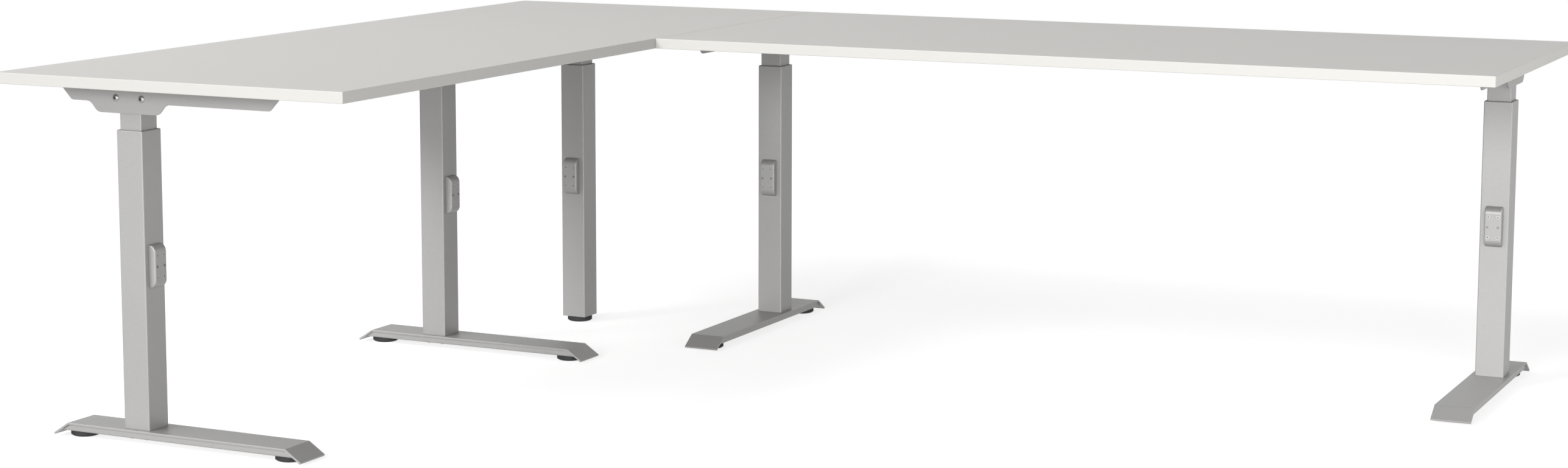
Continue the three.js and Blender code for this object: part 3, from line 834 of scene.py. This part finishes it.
def pan_head(radius, height, blade):
    """A pan head with a cross recess."""
    reach, floor, over = radius * 0.6, height * 0.35, height * 2
    bars = [
        block((-u, -v, floor), (u, v, over)) for u, v in ((reach, blade / 2), (blade / 2, reach))
    ]
    return new_head("pan_head", dome(radius, height), *bars)


def add_fasteners(name, body, head, points, seed, material=zinc):
    """One piece for all the fasteners of a kind on a body. points are (place, direction) pairs."""
    rows = bmesh.new()
    facing = rows.verts.layers.float_vector.new("facing")
    for place, direction in points:
        rows.verts.new(place)[facing] = direction
    made = new_object(name, rows)
    inputs = {
        "Fastener": head,
        "Size": 1.0,
        "Seed": seed,
        "Material": material(),
        "Recess Material": recess(),
    }
    grow(made, "Fasteners", inputs)
    return finish(made, body, "plated_steel")


def grid(matrix, centre, steps, spacing, direction):
    """Points of a rectangle of fasteners about a centre, along two axes of a leg or plate."""
    turned = matrix.to_3x3() @ Vector(direction)
    across, along = (Vector(step) * gap / 2 for step, gap in zip(steps, spacing))
    places = [Vector(centre) + across * a + along * b for a in (-1, 1) for b in (-1, 1)]
    return [(matrix @ place, turned) for place in places]


# -------- pieces


def make_board(node, details):
    """A board: a laminate face above and below, and an edge band with rounded edges around it."""
    low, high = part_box(node)
    edge, band = details.board_edge, details.edge_band
    arc = [edge * (1 - math.cos(a)) for a in quarter(5)]
    upper = [(inset, high.z - drop) for inset, drop in zip(arc, reversed(arc))]
    walls = upper + [(band, high.z)]
    walls = [(inset, low.z + high.z - z) for inset, z in reversed(walls)] + walls
    rings = []
    for inset, z in walls:
        start, end = (low.x + inset, low.y + inset), (high.x - inset, high.y - inset)
        outline = rectangle(start, end, max(edge - inset, 0.05 * MM))
        rings.append([Vector((p.x, p.y, z)) for p in outline])
    made = new_object(node.replace("_board", "_top"), loft(rings))
    wear(made, laminate(), edging())
    for face in made.data.polygons:
        face.material_index = 0 if len(face.vertices) > 4 else 1
    finish(made, TOP_BODY, "board_laminate", [node])


def make_outer_tube(leg, details):
    """The outer tube: rounded corners, a soft rim, a closed lower end and the clamp's window."""
    low, high = leg.box("outer_tube")
    size, edge, wall, rim = high.x - low.x, details.sheet_edge, details.tube_wall, details.tube_rim
    outside = [(rim * (1 - math.cos(a)), high.z - rim * (1 - math.sin(a))) for a in quarter()]
    walls = [
        (edge, low.z),
        (0, low.z + edge),
        *outside,
        (wall - edge / 2, high.z),
        (wall, high.z - edge / 2),
        (wall, low.z + details.tube_floor),
    ]
    rings = [square_ring(size - 2 * inset, details.tube_corner - inset, z) for inset, z in walls]
    made = new_object(f"tube_outer_{leg.name}", loft(rings), leg.matrix)
    pad_low, pad_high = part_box(f"clamp_pad_{leg.name}")
    room = Vector((1, 1, 1)) * WINDOW_ROOM
    reach = leg.matrix.to_3x3() @ Vector((size, 0, 0))
    ends = [pad_low - room, pad_high + room, pad_low - room + reach, pad_high + room + reach]
    carve(made, block(*extent(ends)))
    finish(made, leg.body, "silver_paint", [f"outer_tube_{leg.name}"])


def weld(start, end, width):
    """A straight weld bead with a ripple for each quarter of its width."""
    along = end - start
    steps = max(2, round(along.length / (width / 4)))
    turn = along.to_track_quat("Z", "Y").to_matrix().to_4x4()
    rings = []
    for k in range(steps + 1):
        swell = 0.86 + 0.14 * abs(math.sin(k * math.pi / 2 + 0.4))
        taper = 0.55 if k in (0, steps) else 1
        rings.append(circle(width / 2 * swell * taper, 10, along.length * k / steps))
    body = loft(rings)
    body.transform(Matrix.Translation(start) @ turn)
    return body


def make_inner_tube(leg, details):
    """The inner tube, and on a wing leg its welded head."""
    low, high = leg.box("inner_tube")
    size, wall, edge = high.y - low.y, details.inner_wall, details.sheet_edge
    walls = [(edge, low.z), (0, low.z + edge), (0, high.z), (wall, high.z), (wall, low.z)]
    rings = [square_ring(size - 2 * inset, details.inner_corner - inset, z) for inset, z in walls]
    made = new_object(f"tube_inner_{leg.name}", loft(rings, looped=True), leg.matrix)
    finish(made, TOP_BODY, "silver_paint", [f"inner_tube_{leg.name}"])
    if leg not in WING_LEGS:
        return
    bottom = high.z + details.bracket_sheet - details.head_drop
    half, bead = size / 2, details.weld_bead
    cheeks = [
        block((-high.x, -half, bottom), (-half, half, high.z)),
        block((half, -half, bottom), (high.x, half, high.z)),
    ]
    head = new_object(f"tube_head_{leg.name}", join(*cheeks), leg.matrix)
    soften(head, details.head_edge, 3)
    finish(head, TOP_BODY, "silver_paint")
    corner = half - bead / 4
    across = half - details.inner_corner
    seams = []
    for u in (-corner, corner):
        seams.append((Vector((u, -across, bottom)), Vector((u, across, bottom))))
        for v in (-corner, corner):
            seams.append((Vector((u, v, bottom + bead)), Vector((u, v, high.z - bead))))
    beads = join(*(weld(start, end, bead * 0.6) for start, end in seams))
    made = new_object(f"tube_welds_{leg.name}", beads, leg.matrix)
    finish(made, TOP_BODY, "silver_paint")


def make_clamp(leg, details, heads):
    """The clamp block with its four flush bolts and two set screws."""
    low, high = leg.box("clamp_block")
    depth, roll = high.x - low.x, details.clamp_edge
    sides = [(roll * (1 - math.sin(a)), roll * (1 - math.cos(a))) for a in quarter()]
    rings = []
    for side in (1, -1):
        for inset, along in sides[::side]:
            y = low.y + along if side > 0 else high.y - along
            bottom, front, top = low.z + inset, high.x - inset, high.z - inset
            bend = depth - inset - 0.01 * MM
            corners = [(low.x, bottom, 0), (front, bottom, bend)]
            corners += [(front, top, bend), (low.x, top, 0)]
            outline = rounded(corners, 2 * ARC_STEPS)
            rings.append([Vector((p.x, y, p.y)) for p in outline])
    made = new_object(f"clamp_{leg.name}", loft(rings))
    centre = (low + high) / 2
    front = Vector((high.x, 0, centre.z))
    axes = ((0, 1, 0), (0, 0, 1))
    outwards = (1, 0, 0)
    seats = grid(Matrix(), front, axes, CLAMP_BOLTS, outwards)
    holes = grid(Matrix(), front, axes, CLAMP_SCREWS, outwards)[::2]
    for places, radius in ((seats, CLAMP_SEAT), (holes, CLAMP_HOLE)):
        for place, _ in places:
            hole = lathe([(radius, -CLAMP_HOLE_DEPTH), (radius, depth)], HEAD_SIDES)
            hole.transform(Matrix.Translation(place) @ Matrix.Rotation(math.pi / 2, 4, "Y"))
            carve(made, hole)
    made.data.transform(leg.matrix)
    soften(made, CLAMP_LIP, 2, 60)
    finish(made, leg.body, "silver_paint", [f"clamp_block_{leg.name}"])
    sunk = front - Vector((BOLT_SINK, 0, 0))
    bolts = grid(leg.matrix, sunk, axes, CLAMP_BOLTS, outwards)
    add_fasteners(f"clamp_bolts_{leg.name}", leg.body, heads["bolt"], bolts, 11, nickel)
    sunk = front - Vector((SCREW_SINK, 0, 0))
    screws = grid(leg.matrix, sunk, axes, CLAMP_SCREWS, outwards)
    add_fasteners(f"clamp_screws_{leg.name}", leg.body, heads["screw"], screws[::2], 12, nickel)
    wear(frame["nodes"][f"clamp_pad_{leg.name}"], zinc())


def make_foot(leg, details, bolt):
    """The bent foot plate, the channel under it and the four bolts of the tube's base."""
    low, high = leg.box("foot_plate")
    rear, front = leg.flat_span("foot_plate")
    thick, run, drop = details.plate_thickness, details.tip_run, details.tip_drop
    slope = math.atan2(drop, run)
    inset = thick * math.tan(slope / 2)
    cut = Vector((thick * math.sin(slope), thick * math.cos(slope)))
    bend, inner = details.plate_bend, details.plate_bend - thick
    top, under = high.z, high.z - thick
    outline = rounded(
        [
            (rear - run, top - drop, 0),
            (rear, top, bend),
            (front, top, bend),
            (front + run, top - drop, 0),
            (front + run - cut.x, top - drop - cut.y, 0),
            (front - inset, under, inner),
            (rear + inset, under, inner),
            (rear - run + cut.x, top - drop - cut.y, 0),
        ]
    )
    made = new_object(f"foot_{leg.name}", prism(outline, low.y, high.y, "Y"), leg.matrix)
    soften(made, details.sheet_edge * 1.5, 3)
    finish(made, leg.body, "silver_paint", [f"foot_plate_{leg.name}"])

    low, high = leg.box("foot_channel")
    wall, bend = details.channel_wall, details.channel_bend
    profile = rounded(
        [
            (low.y, high.z, 0),
            (low.y, low.z, bend),
            (high.y, low.z, bend),
            (high.y, high.z, 0),
            (high.y - wall, high.z, 0),
            (high.y - wall, low.z + wall, bend / 3),
            (low.y + wall, low.z + wall, bend / 3),
            (low.y + wall, high.z, 0),
        ],
        5,
    )
    rear, front = leg.flat_span("foot_channel")
    body = prism(profile, rear, front, "X")
    middle_u = (rear + front) / 2
    for vertex in body.verts:
        slant = (high.z - vertex.co.z) * run / drop
        vertex.co.x += slant if vertex.co.x > middle_u else -slant
    made = new_object(f"channel_{leg.name}", body, leg.matrix)
    soften(made, details.sheet_edge, 2)
    finish(made, leg.body, "silver_paint", [f"foot_channel_{leg.name}"])

    axes = ((1, 0, 0), (0, 1, 0))
    bolts = grid(leg.matrix, (0, 0, low.z), axes, FOOT_BOLTS, (0, 0, -1))
    add_fasteners(f"foot_bolts_{leg.name}", leg.body, bolt, bolts, 21)


def make_bracket(leg, details):
    """The folded top bracket: a flange with a deeper middle and slanted ends."""
    low, high = leg.box("top_bracket")
    sheet, side = details.bracket_sheet, leg.flange_side
    outer, far = (high.y, low.y) if side > 0 else (low.y, high.y)
    inner = outer - side * sheet
    top = high.z
    angle = rounded(
        [
            (outer, top, details.bracket_fold),
            (outer, low.z - sheet, 0),
            (inner, low.z - sheet, 0),
            (inner, top - sheet, details.bracket_fold - sheet),
            (far, top - sheet, 0),
            (far, top, 0),
        ]
    )
    made = new_object(f"bracket_{leg.name}", prism(angle, low.x - sheet, high.x + sheet, "X"))
    arm, slope, bend, end = (
        top - details.arm_drop, details.slope_run, details.bracket_bend, details.bracket_end
    )
    rear, front = (
        [
            (tip, top + MM, 0),
            (tip, top, 0),
            (tip - way * details.end_run, arm, end),
            (way * (reach + slope), arm, bend),
            (way * reach, low.z, bend),
        ]
        for tip, way, reach in (
            (low.x, -1, details.centre_rear),
            (high.x, 1, details.centre_front),
        )
    )
    outline = rounded(rear + front[::-1])
    carve(made, prism(outline, low.y - sheet, high.y + sheet, "Y"), "INTERSECT")
    made.data.transform(leg.matrix)
    soften(made, details.sheet_edge, 2, 30)
    finish(made, TOP_BODY, "silver_paint", [f"top_bracket_{leg.name}"])


def flange_bolt_points(leg):
    """Where the two bolts go through the flange into the tube's head."""
    low, high = leg.box("top_bracket")
    side = leg.flange_side
    face = high.y if side > 0 else low.y
    direction = leg.matrix.to_3x3() @ Vector((0, side, 0))
    places = [(end * FLANGE_BOLTS / 2, face, high.z - FLANGE_BOLT_DEPTH) for end in (-1, 1)]
    return [(leg.matrix @ Vector(place), direction) for place in places]


def board_screw_points(leg, details):
    """Where the board screws go through the bracket's top plate."""
    low, high = leg.box("top_bracket")
    z = high.z - details.bracket_sheet
    stations = (low.x + BOARD_SCREW_INSET, BOARD_SCREW_MIDDLE, high.x - BOARD_SCREW_INSET)
    places = [(x, leg.flange_side * y, z) for x in stations for y in BOARD_SCREW_ROWS]
    return [(leg.matrix @ Vector(place), Vector((0, 0, -1))) for place in places]


def make_glide(node, body, details):
    """A levelling glide: a ribbed round pad and a threaded stem."""
    low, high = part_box(node)
    name = node.removeprefix("glide_")
    place = Matrix.Translation(((low.x + high.x) / 2, (low.y + high.y) / 2, low.z))
    rib, edge, top = details.rib_height, details.glide_edge, details.glide_height
    radius, chamfer = (high.x - low.x) / 2 - rib, 1.2 * MM
    profile = [(radius - edge * (1 - math.sin(a)), edge * (1 - math.cos(a))) for a in quarter()]
    hub = details.stem_radius * 2
    profile += [(radius, top - chamfer), (radius - chamfer, top), (hub, top), (hub, top - MM)]
    made = new_object(f"pad_{name}", lathe(profile, PAD_SIDES), place)
    rib_low, rib_high = edge * 0.55, top - chamfer
    ribs = {
        "Centre": place.translation + Vector((0, 0, (rib_low + rib_high) / 2)),
        "Rim Radius": radius,
        "Ribs": details.rib_count,
        "Rib Radius": rib,
        "Rib Length": rib_high - rib_low,
        "Material": glide_plastic(),
    }
    grow(made, "Ribbed rim", ribs)
    finish(made, body, "black_plastic", [node])
    stem = thread(details.stem_radius, top - 2 * MM, high.z - low.z, details.stem_pitch)
    finish(new_object(f"stem_{name}", stem, place), body, "plated_steel")


def thread(radius, low, high, pitch):
    """A threaded rod: one ridge that climbs a pitch each turn."""
    sides, rows, depth = 24, round((high - low) / pitch * 6), pitch * 0.5
    rings = []
    for k in range(rows + 1):
        z = low + (high - low) * k / rows
        ring = []
        for i in range(sides):
            phase = ((z - low) / pitch - i / sides) % 1
            r = radius - depth * abs(2 * phase - 1)
            a = math.tau * i / sides
            ring.append(Vector((r * math.cos(a), r * math.sin(a), z)))
        rings.append(ring)
    return loft(rings)


# -------- operators


class DeskOperator:
    """What all the desk's operators share. Each has a make() of its own."""

    bl_options = {"REGISTER", "UNDO"}

    def execute(self, context):
        self.make(context.scene)
        return {"FINISHED"}


class DESK_OT_boards(DeskOperator, bpy.types.Operator):
    """Make the two wings and the corner board"""

    bl_idname = "desk.boards"
    bl_label = "Boards"

    def make(self, scene):
        for node in frame["nodes"]:
            if node.endswith("_board"):
                make_board(node, scene.desk_details)


class DESK_OT_columns(DeskOperator, bpy.types.Operator):
    """Make the outer and inner tubes, and finish their guides"""

    bl_idname = "desk.columns"
    bl_label = "Telescopic columns"

    def make(self, scene):
        for leg in LEGS:
            make_outer_tube(leg, scene.desk_details)
            make_inner_tube(leg, scene.desk_details)
            for part in ("guide_bush", "tube_slider"):
                wear(frame["nodes"][f"{part}_{leg.name}"], guide_plastic())


class DESK_OT_clamps(DeskOperator, bpy.types.Operator):
    """Make the clamp blocks with their bolts and set screws"""

    bl_idname = "desk.clamps"
    bl_label = "Clamps"

    def make(self, scene):
        heads = {
            "bolt": flush_head(radius=4 * MM, height=3.5 * MM, across=2.5 * MM, edge=0.15 * MM),
            "screw": flush_head(radius=2.8 * MM, height=2.5 * MM, across=2.5 * MM, edge=0.3 * MM),
        }
        for leg in LEGS:
            make_clamp(leg, scene.desk_details, heads)
        for head in heads.values():
            bpy.data.objects.remove(head)


class DESK_OT_feet(DeskOperator, bpy.types.Operator):
    """Make the foot plates, their channels and their bolts"""

    bl_idname = "desk.feet"
    bl_label = "Feet"

    def make(self, scene):
        bolt = button_head(radius=6.5 * MM, height=4.2 * MM, across=4 * MM)
        for leg in WING_LEGS:
            make_foot(leg, scene.desk_details, bolt)
        bpy.data.objects.remove(bolt)


class DESK_OT_glides(DeskOperator, bpy.types.Operator):
    """Make the ribbed levelling glides and their threaded stems"""

    bl_idname = "desk.glides"
    bl_label = "Glides"

    def make(self, scene):
        for node, item in frame["nodes"].items():
            if node.startswith("glide_"):
                make_glide(node, item["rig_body"], scene.desk_details)


class DESK_OT_brackets(DeskOperator, bpy.types.Operator):
    """Make the top brackets, their bolts and all the screws under the boards"""

    bl_idname = "desk.brackets"
    bl_label = "Brackets and screws"

    def make(self, scene):
        details = scene.desk_details
        bolts, screws = [], []
        for leg in WING_LEGS:
            make_bracket(leg, details)
            bolts += flange_bolt_points(leg)
            screws += board_screw_points(leg, details)
        button = button_head(radius=7 * MM, height=4.2 * MM, across=6 * MM)
        add_fasteners("bracket_bolts", TOP_BODY, button, bolts, 31, nickel)
        bpy.data.objects.remove(button)
        plates = [n for n in frame["nodes"] if n.startswith("seam_plate_")]
        for node in plates + ["corner_mount_plate"]:
            wear(frame["nodes"][node], zinc())
            low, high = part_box(node)
            size = high - low
            spacing = SEAM_SCREWS if size.x > size.y else SEAM_SCREWS[::-1]
            spacing = spacing if node in plates else CORNER_SCREWS
            centre = ((low.x + high.x) / 2, (low.y + high.y) / 2, low.z)
            screws += grid(Matrix(), centre, ((1, 0, 0), (0, 1, 0)), spacing, (0, 0, -1))
        pan = pan_head(radius=4.5 * MM, height=2.4 * MM, blade=1.2 * MM)
        add_fasteners("board_screws", TOP_BODY, pan, screws, 32)
        bpy.data.objects.remove(pan)


class DESK_OT_studio(DeskOperator, bpy.types.Operator):
    """Make the floor, the lights and the camera"""

    bl_idname = "desk.studio"
    bl_label = "Studio"

    def make(self, scene):
        studio = scene.desk_studio
        make_floor(studio)
        make_sky(studio)
        for name, (direction, spread) in SUNS.items():
            add_sun(name, getattr(studio, f"{name}_level"), direction, spread)
        for name, (place, size) in SOFTBOXES.items():
            add_softbox(name, getattr(studio, f"{name}_power"), place, size)
        make_camera(studio)
        scene.view_settings.view_transform = "Standard"


def background_rays(graph):
    """1 for rays that show the background: from the camera, or by way of gloss or glass."""
    path = graph.node("ShaderNodeLightPath", output="Is Camera Ray")
    outputs = path.socket.node.outputs
    kinds = ("Camera", "Glossy", "Transmission")
    camera, gloss, glass = (Wire(graph, outputs[f"Is {kind} Ray"]) for kind in kinds)
    return (camera + gloss + glass) > 0.5


def make_floor(studio):
    """A wide pale floor that keeps the desk's shadow on white."""
    body = loft([circle(FLOOR_RADIUS, 64, z) for z in (-FLOOR_DEPTH, 0.0)])
    floor = new_object("floor", body, Matrix.Translation((CENTRE.x, CENTRE.y, CAD_BOX[0].z)))
    material = bpy.data.materials.new("studio_floor")
    graph = cleared(material)
    seen = background_rays(graph)
    matt = graph.node("ShaderNodeBsdfDiffuse", None, {"Color": rgba(studio.floor_tone)})
    shaded = graph.node("ShaderNodeBsdfDiffuse", None, {"Color": rgba(studio.shadow_tone)})
    glow = {"Color": (1, 1, 1, 1), "Strength": studio.floor_glow}
    glow = graph.node("ShaderNodeEmission", None, glow)
    white = graph.node("ShaderNodeAddShader", None, {0: shaded, 1: glow})
    surface = graph.node("ShaderNodeMixShader", None, {0: seen, 1: matt, 2: white})
    graph.node("ShaderNodeOutputMaterial", None, {"Surface": surface})
    floor.data.materials.append(material)


def make_sky(studio):
    """An even pale surrounding, white where the camera sees it."""
    world = bpy.data.worlds.new("studio")
    bpy.context.scene.world = world
    graph = cleared(world)
    seen = background_rays(graph)
    level = studio.sky_level + seen * (1 - studio.sky_level)
    sky = graph.node("ShaderNodeBackground", None, {"Color": (1, 1, 1, 1), "Strength": level})
    graph.node("ShaderNodeOutputWorld", None, {"Surface": sky})


def hang(name, lamp, place, direction):
    """Puts a lamp somewhere, shining against a direction, and out of the camera's sight. The
    light from behind isn't seen in gloss either, where it would wash out the far sides."""
    made = bpy.data.objects.new(name, lamp)
    made.location = place
    made.rotation_mode = "QUATERNION"
    made.rotation_quaternion = direction.to_track_quat("Z", "Y")
    made.visible_camera = False
    made.visible_glossy = name != "back"
    bpy.context.scene.collection.objects.link(made)


def add_sun(name, strength, direction, spread):
    """A soft lamp that is the same all over the desk."""
    lamp = bpy.data.lights.new(name, "SUN")
    lamp.energy = strength * math.pi
    lamp.angle = math.radians(spread)
    hang(name, lamp, (0, 0, 0), Vector(direction))


def add_softbox(name, watts, place, size):
    """A square lamp turned to the middle of the desk."""
    lamp = bpy.data.lights.new(name, "AREA")
    lamp.energy = watts
    lamp.shape = "SQUARE"
    lamp.size = size
    hang(name, lamp, place, Vector(place) - CENTRE)


def make_camera(studio):
    lens = bpy.data.cameras.new("camera")
    lens.lens = studio.lens
    lens.sensor_width = 36
    lens.shift_x, lens.shift_y = studio.shift
    made = bpy.data.objects.new("camera", lens)
    made.location = studio.camera
    made.rotation_euler = (math.pi / 2 - studio.tilt, 0, studio.pan)
    bpy.context.scene.collection.objects.link(made)
    bpy.context.scene.camera = made


class DESK_PT_panel(bpy.types.Panel):
    """The desk's operators in the sidebar"""

    bl_idname = "DESK_PT_panel"
    bl_label = "Corner desk"
    bl_space_type = "VIEW_3D"
    bl_region_type = "UI"
    bl_category = "Desk"

    def draw(self, context):
        for operator in OPERATORS:
            self.layout.operator(operator.bl_idname)
        for group in ("desk_details", "desk_finishes", "desk_studio"):
            values = getattr(context.scene, group)
            for name in values.bl_rna.properties.keys():
                if name not in {"rna_type", "name"}:
                    self.layout.prop(values, name)


OPERATORS = (
    DESK_OT_studio,
    DESK_OT_boards,
    DESK_OT_columns,
    DESK_OT_clamps,
    DESK_OT_feet,
    DESK_OT_glides,
    DESK_OT_brackets,
)
GROUPS = {"desk_details": DeskDetails, "desk_finishes": DeskFinishes, "desk_studio": DeskStudio}


def register():
    for item in (*GROUPS.values(), *OPERATORS, DESK_PT_panel):
        bpy.utils.register_class(item)
    for name, group in GROUPS.items():
        setattr(bpy.types.Scene, name, PointerProperty(type=group))


def unregister():
    for name in GROUPS:
        delattr(bpy.types.Scene, name)
    for item in (DESK_PT_panel, *OPERATORS, *GROUPS.values()):
        bpy.utils.unregister_class(item)


def main():
    register()
    for operator in OPERATORS:
        getattr(bpy.ops.desk, operator.bl_idname.removeprefix("desk."))()


if __name__ == "__main__":
    main()
